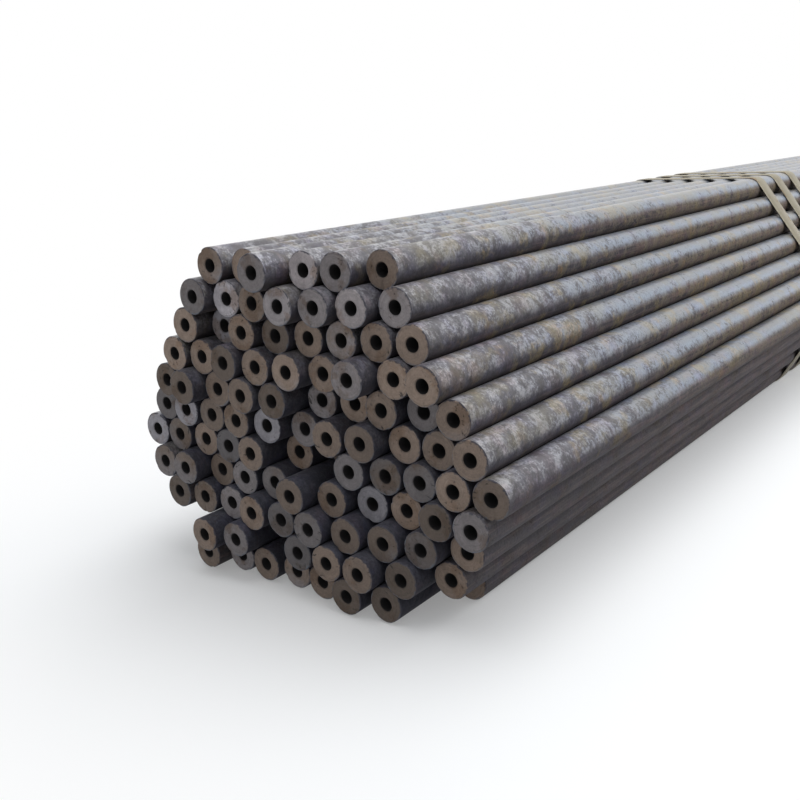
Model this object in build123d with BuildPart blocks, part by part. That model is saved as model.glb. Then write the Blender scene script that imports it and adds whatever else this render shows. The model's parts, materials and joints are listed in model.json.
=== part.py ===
"""Bundle of heavy-wall steel pipes, laid up in nested rows and held by groups of flat steel straps.

Millimetres, +Z up, with the pipes along Y. The origin is under the middle of the bundle, on the floor
that its straps lie on. The near end, whose pipes stand out by different amounts, faces -Y.
"""

import math
import os

from build123d import *

# Pipe stock, cut to one length
PIPE_OD = 32.0
PIPE_WALL = 10.0
PIPE_LENGTH = 6000.0
PIPE_CLEARANCE = 0.3

# Stack: a flat bottom row, rows that widen as their end pipes lean out, then rows that narrow to the top
BOTTOM_GAP_SHARES = (0.08, 0.10, 0.12, 0.10, 0.14, 0.16, 0.16)
LEFT_FLANK_GAP_SHARE = 0.03
RIGHT_FLANK_GAP_SHARE = 0.11
WIDENING_ROWS = 4

# How far each near end stands back, in pipe diameters: bottom row first, and left to right in a row
SET_BACK_SHARES = (
    (-0.20, 0.15, 0.05, 0.15, 0.00, -0.35, -0.15, 2.00),
    (2.00, -0.70, -0.50, 1.00, -0.30, -0.40, -0.50, -0.20, 0.40),
    (-0.20, -0.10, 0.00, -0.30, -0.25, -0.40, -0.20, -0.10, 0.00, 0.40),
    (-0.20, -0.30, 0.20, 0.10, 0.20, -0.40, 0.00, 0.30, 0.30, -0.05, -0.20),
    (0.05, 0.05, 0.15, 0.05, -0.10, 0.70, 1.30, 0.10, 0.25, 0.20, 0.00, -0.10),
    (0.10, -0.05, 0.00, -0.05, 0.10, 0.40, 0.00, 0.00, 0.45, 0.35, 0.00),
    (-0.20, -0.55, -0.15, -0.30, -0.20, 0.55, 0.60, 0.30, 0.60, 0.25),
    (-0.25, -0.15, -0.35, -0.20, -0.15, 0.10, -0.25, 0.20, -0.10),
    (-0.20, 0.30, -0.10, 0.10, 0.25, 0.30, 0.35, 0.35),
    (-0.30, -0.05, -0.15, -0.25, -0.05, 0.15, 0.50),
    (-0.05, 0.20, -0.55, 0.25, 0.30, 0.80),
)

# Straps: closed bands of flat steel, in groups near each end and at the middle
STRAP_WIDTH = 32.0
STRAP_THICKNESS = 1.0
STRAP_CLEARANCE = 0.3
BRIDGED_SHARE = 0.5
STRAP_PITCH = 76.0
STRAPS_IN_GROUP = 3
GROUP_SETBACK = 978.0

# Seals: channels folded over a strap's lapped ends and crimped at both edges
LAP_LENGTH = 96.0
SEAL_LENGTH = 46.0
SEAL_THICKNESS = 1.2
SEAL_CLEARANCE = 0.1
CRIMP_DEPTH = 3.0
CRIMP_PITCH = 20.0

# What follows from them
CENTRE_DISTANCE = PIPE_OD + PIPE_CLEARANCE
PIPE_RADIUS = PIPE_OD / 2
BORE_RADIUS = PIPE_RADIUS - PIPE_WALL
STRAP_REACH = PIPE_RADIUS + STRAP_CLEARANCE
FLOOR_TO_BOTTOM_ROW = STRAP_REACH + STRAP_THICKNESS


def bottom_row():
    """Centres of the pipes that lie flat on the straps, as (across, up)."""
    across = 0.0
    row = [(across, FLOOR_TO_BOTTOM_ROW)]
    for gap_share in BOTTOM_GAP_SHARES:
        across += CENTRE_DISTANCE + gap_share * PIPE_OD
        row.append((across, FLOOR_TO_BOTTOM_ROW))
    return row


def apex(start, end, start_reach, end_reach):
    """The centre at the given distances from two others, on the left when looking from start to end."""
    run, rise = end[0] - start[0], end[1] - start[1]
    span = math.hypot(run, rise)
    along = (span**2 + start_reach**2 - end_reach**2) / (2 * span)
    aside = math.sqrt(start_reach**2 - along**2)
    return (start[0] + (along * run - aside * rise) / span, start[1] + (along * rise + aside * run) / span)


def row_on(below, widens):
    """Centres of the pipes in the valleys of a row, with one more leaning out at each end if it widens."""
    row = [apex(left, right, CENTRE_DISTANCE, CENTRE_DISTANCE) for left, right in zip(below[:-1], below[1:])]
    if widens:
        left_reach = CENTRE_DISTANCE + LEFT_FLANK_GAP_SHARE * PIPE_OD
        right_reach = CENTRE_DISTANCE + RIGHT_FLANK_GAP_SHARE * PIPE_OD
        left_pipe = apex(below[0], row[0], CENTRE_DISTANCE, left_reach)
        right_pipe = apex(row[-1], below[-1], right_reach, CENTRE_DISTANCE)
        row = [left_pipe, *row, right_pipe]
    return row


def stacked_rows():
    """All rows of pipe centres from the bottom up, with the widest row centred on X = 0."""
    rows = [bottom_row()]
    while len(rows) < len(SET_BACK_SHARES):
        rows.append(row_on(rows[-1], widens=len(rows) <= WIDENING_ROWS))
    places = [x for row in rows for x, z in row]
    middle = (min(places) + max(places)) / 2
    return [[(x - middle, z) for x, z in row] for row in rows]


def hull_corners(centres):
    """The outermost centres in order round the section, which a tight strap bends over."""

    def half_hull(points):
        chain = []
        for point in points:
            while len(chain) > 1:
                (ax, az), (bx, bz) = chain[-2], chain[-1]
                turn = (bx - ax) * (point[1] - az) - (bz - az) * (point[0] - ax)
                if turn / math.dist(chain[-2], point) > BRIDGED_SHARE * STRAP_CLEARANCE:
                    break
                chain.pop()
            chain.append(point)
        return chain[:-1]

    ordered = sorted(centres)
    return half_hull(ordered) + half_hull(ordered[::-1])


def cross_plane(y):
    """The plane across the bundle at one place along it, drawn as seen from the near end."""
    return Plane(origin=(0, y, 0), x_dir=(1, 0, 0), z_dir=(0, -1, 0))


def seal_span(corners, height):
    """The straight run of strap on the left flank that crosses a height, from its lower to its upper corner."""
    spans = zip(corners[1:] + corners[:1], corners)
    return next((low, high) for low, high in spans if low[0] < high[0] < 0 and low[1] <= height < high[1])


rows = stacked_rows()
corners = hull_corners([centre for row in rows for centre in row])
set_backs = [share * PIPE_OD for shares in SET_BACK_SHARES for share in shares]
near_face = -PIPE_LENGTH / 2 - (min(set_backs) + max(set_backs)) / 2
os.makedirs("parts", exist_ok=True)

# Pipe rows: like pipes side by side, each its own solid
for number, (row, shares) in enumerate(zip(rows, SET_BACK_SHARES), start=1):
    with BuildPart() as pipe_row:
        for centre, share in zip(row, shares):
            with BuildSketch(cross_plane(near_face + share * PIPE_OD)):
                with Locations(centre):
                    Circle(PIPE_RADIUS)
                    Circle(BORE_RADIUS, mode=Mode.SUBTRACT)
            extrude(amount=-PIPE_LENGTH)
    pipe_row.part.label = f"pipe_row_{number:02d}"
    export_step(pipe_row.part, f"parts/{pipe_row.part.label}.step")

# Straps and their seals, group by group along the bundle
far_face = near_face + PIPE_LENGTH
groups = {
    "near": near_face + GROUP_SETBACK,
    "middle": (near_face + far_face) / 2,
    "far": far_face - GROUP_SETBACK,
}
low, high = seal_span(corners, height=(rows[WIDENING_ROWS][0][1] + rows[-1][0][1]) / 2)
along = Vector(high[0] - low[0], 0, high[1] - low[1]).normalized()
outward = Vector(-along.Z, 0, along.X)
span_middle = Vector((low[0] + high[0]) / 2, 0, (low[1] + high[1]) / 2)
lap = span_middle + outward * (STRAP_REACH + STRAP_THICKNESS)
seal_width = STRAP_WIDTH + 2 * (SEAL_CLEARANCE + SEAL_THICKNESS)

for group, group_middle in groups.items():
    for number in range(1, STRAPS_IN_GROUP + 1):
        strap_middle = group_middle + (number - (STRAPS_IN_GROUP + 1) / 2) * STRAP_PITCH
        lap_plane = Plane(origin=lap + Vector(0, strap_middle, 0), x_dir=(0, 1, 0), z_dir=outward)

        with BuildPart() as strap:
            with BuildSketch(cross_plane(strap_middle)):
                Polygon(*corners, align=None)
                offset(amount=STRAP_REACH + STRAP_THICKNESS, kind=Kind.ARC)
            extrude(amount=STRAP_WIDTH / 2, both=True)
            with BuildSketch(cross_plane(strap_middle)):
                Polygon(*corners, align=None)
                offset(amount=STRAP_REACH, kind=Kind.ARC)
            extrude(amount=STRAP_WIDTH / 2, both=True, mode=Mode.SUBTRACT)
            with BuildSketch(lap_plane):
                Rectangle(STRAP_WIDTH, LAP_LENGTH)
            extrude(amount=STRAP_THICKNESS)
        strap.part.label = f"strap_{group}_{number}"
        export_step(strap.part, f"parts/{strap.part.label}.step")

        with BuildPart() as seal:
            with BuildSketch(lap_plane.offset(-STRAP_THICKNESS)):
                Rectangle(seal_width, SEAL_LENGTH)
            extrude(amount=2 * STRAP_THICKNESS + SEAL_CLEARANCE + SEAL_THICKNESS)
            with BuildSketch(lap_plane.offset(-STRAP_THICKNESS)):
                Rectangle(STRAP_WIDTH + 2 * SEAL_CLEARANCE, SEAL_LENGTH)
            extrude(amount=2 * STRAP_THICKNESS + SEAL_CLEARANCE, mode=Mode.SUBTRACT)
            with BuildSketch(lap_plane.offset(STRAP_THICKNESS + SEAL_CLEARANCE)):
                with GridLocations(seal_width, CRIMP_PITCH, 2, 2):
                    RegularPolygon(CRIMP_DEPTH, side_count=4)
            extrude(amount=SEAL_THICKNESS, mode=Mode.SUBTRACT)
        seal.part.label = f"seal_{group}_{number}"
        export_step(seal.part, f"parts/{seal.part.label}.step")
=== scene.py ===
"""Looks for a strapped bundle of steel pipes, laid out as an add-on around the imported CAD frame.

Pipes, straps and seals are made by Geometry Nodes at places read from the frame, and every finish is
procedural. Sizes are in metres. The pipes lie along Y, and their uneven near end faces -Y.
"""

import bisect
import json
import math

import bmesh
import bpy
from bpy.props import FloatProperty, FloatVectorProperty, IntProperty, PointerProperty
from mathutils import Color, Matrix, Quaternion, Vector
from mathutils.geometry import convex_hull_2d


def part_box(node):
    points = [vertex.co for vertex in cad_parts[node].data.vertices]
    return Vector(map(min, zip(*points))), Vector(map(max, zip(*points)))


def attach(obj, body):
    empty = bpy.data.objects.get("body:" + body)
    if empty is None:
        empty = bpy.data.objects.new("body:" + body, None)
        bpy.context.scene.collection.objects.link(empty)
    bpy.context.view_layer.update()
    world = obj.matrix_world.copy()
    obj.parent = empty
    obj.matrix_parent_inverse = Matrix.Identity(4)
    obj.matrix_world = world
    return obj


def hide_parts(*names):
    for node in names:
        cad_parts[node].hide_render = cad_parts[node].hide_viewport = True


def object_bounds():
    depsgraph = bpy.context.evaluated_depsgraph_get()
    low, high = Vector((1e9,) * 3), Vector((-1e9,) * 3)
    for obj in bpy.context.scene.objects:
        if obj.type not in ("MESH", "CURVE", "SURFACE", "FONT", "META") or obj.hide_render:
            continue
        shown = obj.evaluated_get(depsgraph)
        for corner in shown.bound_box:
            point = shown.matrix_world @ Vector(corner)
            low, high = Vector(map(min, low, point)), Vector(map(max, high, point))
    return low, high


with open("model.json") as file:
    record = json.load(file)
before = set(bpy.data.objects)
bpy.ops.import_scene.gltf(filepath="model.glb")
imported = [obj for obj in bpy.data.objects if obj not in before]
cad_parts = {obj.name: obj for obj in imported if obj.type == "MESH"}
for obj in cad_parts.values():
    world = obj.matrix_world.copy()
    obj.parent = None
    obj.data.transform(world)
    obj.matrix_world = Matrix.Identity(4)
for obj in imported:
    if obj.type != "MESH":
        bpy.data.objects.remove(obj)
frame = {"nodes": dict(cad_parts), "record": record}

bl_info = {
    "name": "Pipe Bundle",
    "version": (1, 0, 0),
    "blender": (4, 5, 0),
    "location": "3D View > Sidebar > Pipe Bundle",
    "description": "Dresses a strapped bundle of steel pipes on its CAD frame",
    "category": "Object",
}

CAD_BOX = [list(corner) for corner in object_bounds()]
BODY = "root"
MERGE_DISTANCE = 1e-6
GROUPS = ("near", "middle", "far")
STRAPS_IN_GROUP = 3

# How finely the pieces are divided, and the angles past which an edge stays crisp
SECTION_CORNERS = 8
BEND_STEP = math.radians(7)
LAP_SEARCH_STEPS = 20000
LAP_STEP = 0.001
LAP_STEPS = 80
SEAL_STEPS = 46
FLOOR_SIDES = 96
PIPE_CRISP_ANGLE = math.radians(24)
STRAP_CRISP_ANGLE = math.radians(40)

# A pipe's end and rim in edge breaks, how squarely a sawn face looks along it, and the nicks in its rim
END_ZONE = 2.0
RIM_ZONE = 1.5
SAWN_FACING = 0.3
NICK_SIZE = 0.0075
NICK_NOISE = (0.52, 0.85)

# A crimp's spread and ridge as shares of its depth, and where on a seal's flat half its pinch starts
CRIMP_SPREAD = 1.4
CRIMP_RIDGE = 0.30
PINCH_START = 0.80

# The map that pictures of the pipes' finishes are baked through, with sizes as shares of its side
BAKE_MAP = "OFBake"
SIDE_STRIPS = 6
STRIP_ROWS = 3
END_COLUMNS = 12
BORE_BAND = 0.04
MAP_MARGIN = 0.0015

# Heights above the floor between which the finishes change, and how far chance moves their patterns
# The first pair also sets where the low rows lose the painted sky reflection and take painted shade, and get
# fewer stains
AIRED_AND_LIT_HEIGHTS = (0.09, 0.15)
UPPER_HEIGHTS = (0.16, 0.27)
BARE_HEIGHTS = (0.20, 0.29)
BRIGHT_HEIGHTS = (0.06, 0.30)
CHANCE_SHIFT = 9.0
GASH_SHIFT = 7.0
STRAP_SHIFT = 7.0
BLUE_SHIFT = (3.0, 5.0, 7.0)

# Lamps: name, setting of the power, size, place, aim, and whether it shows in reflections. The far box
# doesn't, because the top pipes would mirror both boxes and come out too bright.
LAMPS = (
    ("near_box", "lamp_power", 4.0, (1.1, -1.9, 3.2), (0.0, -2.4, 0.1), True),
    ("far_box", "lamp_power", 4.0, (-1.1, 1.9, 3.2), (0.0, 2.4, 0.1), False),
    ("near_fill", "fill_power", 1.2, (0.0, -6.2, 0.45), (0.0, -3.0, 0.15), True),
    ("far_fill", "fill_power", 1.2, (0.0, 6.2, 0.45), (0.0, 3.0, 0.15), True),
)
WHITE = (1.0, 1.0, 1.0, 1.0)
SKY_SPREAD = (0.22, 1.00)
# Share of white glow on the floor even beside the bundle: painted light that lightens its shadow
LEAST_FADE = 0.25


# Places read from the frame


def pipes_of(node):
    """The box of each pipe in a CAD row, as (lowest corner, highest corner), from left to right."""
    mesh = bmesh.new()
    mesh.from_mesh(frame["nodes"][node].data)
    bmesh.ops.remove_doubles(mesh, verts=mesh.verts, dist=MERGE_DISTANCE)
    unread = set(mesh.verts)
    boxes = []
    while unread:
        front = [unread.pop()]
        corners = []
        while front:
            vertex = front.pop()
            corners.append(vertex.co.copy())
            linked = {edge.other_vert(vertex) for edge in vertex.link_edges} & unread
            unread -= linked
            front.extend(linked)
        low = Vector(min(corner[axis] for corner in corners) for axis in range(3))
        high = Vector(max(corner[axis] for corner in corners) for axis in range(3))
        boxes.append((low, high))
    mesh.free()
    return sorted(boxes, key=lambda box: box[0].x)


def near_end(box):
    """The middle of a pipe's near face."""
    low, high = box
    return Vector(((low.x + high.x) / 2, low.y, (low.z + high.z) / 2))


ROW_NODES = sorted(node for node in frame["nodes"] if node.startswith("pipe_row_"))
ROWS = [pipes_of(node) for node in ROW_NODES]
ENDS = [[near_end(box) for box in row] for row in ROWS]
FIRST_LOW, FIRST_HIGH = ROWS[0][0]
PIPE_DIAMETER = FIRST_HIGH.x - FIRST_LOW.x
PIPE_LENGTH = FIRST_HIGH.y - FIRST_LOW.y
BORE_RADIUS = next(
    mount["dims"]["r_mm"] for mount in frame["record"]["mounts"] if mount["kind"] == "bore"
) / 1000
STRAP_LOW, STRAP_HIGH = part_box("strap_near_1")
TOP_PIPE = max((end for row in ENDS for end in row), key=lambda end: end.z)


def is_outer(level, number):
    """Whether a pipe lies at the outside of the bundle: first or last in its row, or with no pipe over it."""
    row = ENDS[level]
    above = ENDS[level + 1] if level + 1 < len(ENDS) else []
    covered = any(abs(other.x - row[number].x) < PIPE_DIAMETER for other in above)
    return number in (0, len(row) - 1) or not covered


# Settings that a user would change


def length(name, description, default):
    return FloatProperty(
        name=name, description=description, default=default, min=0.0, precision=5, unit="LENGTH"
    )


def colour(name, description, default):
    return FloatVectorProperty(
        name=name, description=description, default=default, size=3, min=0.0, max=1.0, subtype="COLOR"
    )


def point(name, description, default):
    return FloatVectorProperty(name=name, description=description, default=default, unit="LENGTH")


def angle(name, description, degrees):
    return FloatProperty(
        name=name, description=description, default=math.radians(degrees), unit="ROTATION"
    )


def power(name, description, default):
    return FloatProperty(name=name, description=description, default=default, unit="POWER")


class PipeSettings(bpy.types.PropertyGroup):
    """Sizes and colours of the pipes"""

    diameter: length("Outside diameter", "Outside diameter of a pipe", PIPE_DIAMETER)
    bore: length("Bore", "Diameter of a pipe's bore", 2 * BORE_RADIUS)
    stock_length: length("Length", "Length that the pipes are cut to", PIPE_LENGTH)
    edge_break: length("Edge break", "Width of the dulled edge round the end and the bore", 0.0006)
    raggedness: length("Raggedness", "How deep the nicks in a sawn rim go", 0.0011)
    saw_tilt: angle("Saw tilt", "How far a cut may lean from square", 1.2)
    sides: IntProperty(name="Sides", description="Flat facets round a pipe", default=60, min=12)
    # The darker end is painted shade: there the painted sky reflection thins out
    dark_end: length("Dark end", "How far the darker scale reaches from a pipe's ends", 0.55)
    clean_end: length("Clean end", "How far from a pipe's ends few stains show", 0.14)
    tip: length("Tip", "How far light reaches along the inner pipes from their ends", 0.070)
    lit_tip: length("Lit tip", "How far from their ends it reaches in full", 0.015)
    clamp_mark: length("Clamp mark", "From a pipe's end to the thin mark of the saw's clamp", 0.012)
    clamp_width: length("Clamp width", "Half the width of that mark", 0.0012)
    roll_pitch: length("Roll pitch", "Pitch of the spiral that the straightening rolls left", 0.038)
    seed: IntProperty(name="Seed", description="Changes which pipe gets which chance marks", default=7)
    dark_scale: colour("Dark scale", "Mill scale where it is whole", (0.050, 0.045, 0.054))
    # Painted shade on the pipes inside the bundle, and on the upper side of the sawn rims
    shade_scale: colour("Inner scale", "Mill scale inside the bundle", (0.031, 0.032, 0.048))
    # Bluish flecks in the painted shade inside the bundle
    slate_scale: colour("Slate scale", "Bluish mill scale inside the bundle", (0.054, 0.056, 0.074))
    grey_scale: colour("Grey scale", "Mill scale where it is thin", (0.106, 0.101, 0.122))
    # Colour of the painted sky reflection on the pipes' upper sides, and of the painted highlight on the
    # lower rims of the ends
    sheen_scale: colour("Pale scale", "Rubbed patches that catch the sky", (0.166, 0.218, 0.296))
    # Colour of the painted sky reflection near the pipes' ends, also mixed into the low rows' film
    end_pale: colour("Pale end", "Rubbed patches near a pipe's ends", (0.275, 0.270, 0.292))
    # Also the colour of the painted shade on the pipes' undersides
    brown_film_and_shade: colour("Brown film", "Thin rust on the sheltered underside", (0.052, 0.041, 0.043))
    red_film: colour("Red film", "Redder streaks in that rust", (0.172, 0.122, 0.108))
    ochre_stain: colour("Ochre stain", "Yellow rust that water left", (0.245, 0.202, 0.115))
    orange_rust: colour("Orange rust", "Fresh rust in the middle of a stain", (0.370, 0.215, 0.090))
    golden_film: colour("Golden film", "Thin yellow film on weathered faces", (0.185, 0.166, 0.108))
    dust: colour("Dust", "Yard dust on upward faces", (0.094, 0.091, 0.092))
    warm_face: colour("Warm end", "Sawn ends with a film of rust", (0.250, 0.190, 0.153))
    rusty_face: colour("Rusty end", "Rust patches on the sawn ends", (0.190, 0.120, 0.076))
    grey_face: colour("Grey end", "Sawn ends that are still bare", (0.320, 0.292, 0.300))
    blue_face: colour("Blue end", "Sawn ends with a cold tint", (0.322, 0.312, 0.344))
    # Near black: painted shade inside the bores and in the valleys between pipes, and dark marks on the ends
    bore_dark: colour("Bore", "Inside of the bores", (0.004, 0.0035, 0.004))


class StrapSettings(bpy.types.PropertyGroup):
    """Sizes and colours of the straps and seals"""

    width: length("Width", "Width of a strap", STRAP_HIGH.y - STRAP_LOW.y)
    thickness: length("Thickness", "Thickness of a strap", 0.001)
    reach: length("Reach", "From an outer pipe's middle to the strap's outside", STRAP_HIGH.z - TOP_PIPE.z)
    lap: length("Lap", "How far a strap's ends overlap", 0.096)
    ramp: length("Ramp", "Where a strap climbs onto its own end", 0.024)
    layer_gap: length("Layer gap", "Room between a strap's lapped ends", 0.00005)
    tail_lift: length("Tail lift", "How far the free end springs up", 0.0012)
    edge_round: length("Edge round", "Rolled edge of a strap", 0.0003)
    seal_length: length("Seal length", "Length of a crimped seal along its strap", 0.046)
    seal_wall: length("Seal wall", "Thickness of a seal's sheet", 0.0012)
    fold_radius: length("Fold radius", "Inside radius of a seal's folds", 0.0008)
    seal_play: length("Seal play", "Room between a seal and its strap", 0.0001)
    crimp_depth: length("Crimp depth", "How far a crimp bites into the seal's edge", 0.003)
    crimp_pitch: length("Crimp pitch", "Distance between crimps", 0.020)
    paint: colour("Paint", "Tan coat on the straps", (0.270, 0.237, 0.163))
    bare_edge: colour("Bare edge", "Steel where the coat is worn off", (0.420, 0.385, 0.300))
    rust: colour("Rust", "Rust spots on the straps", (0.210, 0.115, 0.055))


class StageSettings(bpy.types.PropertyGroup):
    """Camera, floor and light"""

    camera_place: point("Camera", "Where the camera stands", (0.5393, -3.5512, 0.3724))
    camera_aim: point("Aim", "The point that the camera looks at", (0.0548, -2.9483, 0.1681))
    camera_roll: angle("Roll", "Turn of the camera about its view", -3.98)
    lens: FloatProperty(name="Lens", description="Focal length in millimetres", default=41.85, unit="CAMERA")
    clip_start: length("Clip start", "Nearest distance that the camera sees", 0.01)
    floor: colour("Floor", "The pale floor", (0.930, 0.930, 0.930))
    floor_return: colour("Floor return", "Scattered light that the floor gives back", (0.110, 0.107, 0.104))
    floor_radius: length("Floor radius", "How far the floor reaches", 14.0)
    floor_fade: length("Floor fade", "How far from the bundle the floor turns white", 0.55)
    sky: colour("Sky", "Soft light from overhead", (0.910, 0.955, 1.000))
    sky_aim: FloatVectorProperty(
        name="Sky aim",
        description="Where the sky is brightest",
        default=(0.25, 0.35, 0.90),
        subtype="DIRECTION",
    )
    horizon: colour("Horizon", "Soft light from the sides", (0.060, 0.061, 0.064))
    lamp_power: power("Soft box", "Power of each overhead lamp", 93.0)
    fill_power: power("Fill", "Power of the lamp before each end", 20.0)


# Node helpers


class Field:
    """A node's output. Arithmetic on it adds the nodes that work the result out."""

    def __init__(self, socket):
        self.socket = socket

    def __add__(self, other):
        return calc("ADD", self, other)

    def __sub__(self, other):
        return calc("SUBTRACT", self, other)

    def __rsub__(self, other):
        return calc("SUBTRACT", other, self)

    def __mul__(self, other):
        return calc("MULTIPLY", self, other)

    def __truediv__(self, other):
        return calc("DIVIDE", self, other)

    def __gt__(self, other):
        return calc("GREATER_THAN", self, other)

    def __lt__(self, other):
        return calc("LESS_THAN", self, other)

    def __neg__(self):
        return calc("MULTIPLY", self, -1.0)

    def __abs__(self):
        return calc("ABSOLUTE", self)


def tree_of(*values):
    """The node tree that the first field among some values belongs to."""
    return next(value.socket.id_data for value in values if isinstance(value, Field))


def feed(socket, value):
    """Links a field to a socket, or sets a plain value on it."""
    if isinstance(value, Field):
        tree_of(value).links.new(value.socket, socket)
    else:
        socket.default_value = value


def add(tree, kind, options=(), values=(), out=None, **inputs):
    """Adds a node and returns its first output or the named one. Values fill its sockets in order."""
    node = tree.nodes.new(kind)
    for name, value in dict(options).items():
        setattr(node, name, value)
    live = [socket for socket in node.inputs if socket.enabled]
    for socket, value in zip(live, values):
        feed(socket, value)
    for name, value in inputs.items():
        feed(next(socket for socket in live if socket.name == name.replace("_", " ")), value)
    return Field(node.outputs[out] if out else next(socket for socket in node.outputs if socket.enabled))


def calc(operation, *values):
    return add(tree_of(*values), "ShaderNodeMath", {"operation": operation}, values)


def vector_calc(operation, *values, out="Vector"):
    return add(tree_of(*values), "ShaderNodeVectorMath", {"operation": operation}, values, out)


def parts_of(vector):
    """The X, Y and Z of a vector."""
    first = add(tree_of(vector), "ShaderNodeSeparateXYZ", values=(vector,))
    return [Field(socket) for socket in first.socket.node.outputs]


def vector_of(x=0.0, y=0.0, z=0.0):
    return add(tree_of(x, y, z), "ShaderNodeCombineXYZ", values=(x, y, z))


def rise(value, low, high):
    """Zero below low and one above high, with a smooth climb between, or the reverse where low is larger."""
    options = {"interpolation_type": "SMOOTHSTEP"}
    return add(tree_of(value), "ShaderNodeMapRange", options, (value, low, high))


def noise(place, size, detail=2.0, roughness=0.5, distortion=0.0):
    """Cloudy noise from 0 to 1 whose lumps are about this size."""
    inputs = {"Detail": detail, "Roughness": roughness, "Distortion": distortion}
    return add(tree_of(place), "ShaderNodeTexNoise", Vector=place, Scale=1 / size, **inputs)


def tint(amount, under, over, blend="MIX"):
    """One colour laid over another by an amount from 0 to 1."""
    solid = [(*value, 1.0) if isinstance(value, Color) else value for value in (under, over)]
    options = {"data_type": "RGBA", "blend_type": blend}
    return add(tree_of(amount, under, over), "ShaderNodeMix", options, Factor=amount, A=solid[0], B=solid[1])


def shaded(base, shade):
    """A colour made lighter or darker by a factor."""
    return tint(1.0, base, vector_of(shade, shade, shade), "MULTIPLY")


def attribute(tree, name, out="Vector"):
    """What the geometry stored for a material to read."""
    return add(tree, "ShaderNodeAttribute", {"attribute_name": name}, out=out)


def store(geometry, name, value, kind="FLOAT_VECTOR", domain="POINT"):
    """Keeps a value with the geometry under a name."""
    tree, options = tree_of(geometry), {"data_type": kind, "domain": domain}
    inputs = {"Geometry": geometry, "Name": name, "Value": value}
    return add(tree, "GeometryNodeStoreNamedAttribute", options, **inputs)


def stored(tree, name, kind="FLOAT_VECTOR"):
    """A value that was kept with the geometry."""
    return add(tree, "GeometryNodeInputNamedAttribute", {"data_type": kind}, Name=name)


def shaded_smooth(geometry, crisp_angle):
    """Smooth shading that stays crisp across edges sharper than an angle."""
    tree, kind = tree_of(geometry), "GeometryNodeSetShadeSmooth"
    crisp = add(tree, "GeometryNodeInputMeshEdgeAngle") > crisp_angle
    geometry = add(tree, kind, {"domain": "FACE"}, Geometry=geometry, Shade_Smooth=True)
    return add(tree, kind, {"domain": "EDGE"}, Geometry=geometry, Selection=crisp, Shade_Smooth=False)


def finished(geometry, result, *finishes):
    """Sets each finish on its selection and links the geometry to the output of its tree."""
    for selection, finish in finishes:
        inputs = {"Geometry": geometry, "Selection": selection, "Material": finish}
        geometry = add(tree_of(geometry), "GeometryNodeSetMaterial", **inputs)
    feed(result.inputs[0], geometry)


def new_tree(name, kind, inputs, outputs):
    """An empty node group with named sockets. Returns it with its input fields and its output node."""
    tree = bpy.data.node_groups.new(name, kind)
    for sockets, in_out in ((inputs, "INPUT"), (outputs, "OUTPUT")):
        for socket_name, socket_type in sockets.items():
            tree.interface.new_socket(socket_name, in_out=in_out, socket_type=f"NodeSocket{socket_type}")
    given = tree.nodes.new("NodeGroupInput").outputs
    return tree, {name: Field(given[name]) for name in inputs}, tree.nodes.new("NodeGroupOutput")


def place_group(tree, group, **inputs):
    """Places a shader group in a material and returns its outputs by name."""
    node = tree.nodes.new("ShaderNodeGroup")
    node.node_tree = group
    for name, value in inputs.items():
        feed(node.inputs[name], value)
    return {socket.name: Field(socket) for socket in node.outputs}


def new_material(name):
    """An empty material. Returns it with its tree and its Principled shader."""
    material = bpy.data.materials.new(name)
    material.use_nodes = True
    return material, material.node_tree, material.node_tree.nodes["Principled BSDF"]


def wear(shader, base, roughness, height, depth):
    """Links the finished colour, roughness and relief to a shader. Depth is the relief's height."""
    feed(shader.inputs["Base Color"], base)
    feed(shader.inputs["Roughness"], roughness)
    feed(shader.inputs["Normal"], add(tree_of(height), "ShaderNodeBump", Height=height, Distance=depth))


def grown_mesh(name, base, tree, inputs, thickness=None):
    """Runs a Geometry Nodes tree on a base mesh, thickens a sheet if asked, and keeps the plain result."""
    piece = bpy.data.objects.new(name, base)
    bpy.context.scene.collection.objects.link(piece)
    modifier = piece.modifiers.new(tree.name, "NODES")
    modifier.node_group = tree
    for socket_name, value in inputs.items():
        modifier[tree.interface.items_tree[socket_name].identifier] = value
    if thickness:
        wall = piece.modifiers.new("wall", "SOLIDIFY")
        wall.thickness = thickness
        wall.offset = 1.0
    shown = piece.evaluated_get(bpy.context.evaluated_depsgraph_get())
    mesh = bpy.data.meshes.new_from_object(shown)
    mesh.name = name
    for slot in reversed(range(len(mesh.materials))):
        if mesh.materials[slot] is None:
            mesh.materials.pop(index=slot)
    piece.modifiers.clear()
    piece.data = mesh
    if not mesh.polygons:
        raise RuntimeError(f"{name} came out empty")
    return piece


# Shader groups shared by the finishes


def mottle_group():
    """Broad tone, crisp patches, flecks, fine streaks drawn out one way, and grain."""
    masks = ("Tone", "Patches", "Flecks", "Streaks", "Grain")
    tree, given, result = new_tree(
        "scale_mottle",
        "ShaderNodeTree",
        {"Place": "Vector", "Drawn": "Vector"},
        {mask: "Float" for mask in masks},
    )
    place = given["Place"]
    tone = noise(place, size=0.085, detail=6.0, roughness=0.66, distortion=0.4)
    patches = noise(place, size=0.014, detail=5.0, roughness=0.66, distortion=0.4)
    flecks = noise(place, size=0.0048, detail=4.0, roughness=0.70)
    streaks = noise(given["Drawn"], size=0.0045, detail=3.0, roughness=0.6)
    grain = noise(place, size=0.0022, detail=3.0, roughness=0.7)
    for mask, value in zip(masks, (tone, patches, flecks, streaks, grain)):
        feed(result.inputs[mask], value)
    return tree


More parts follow.
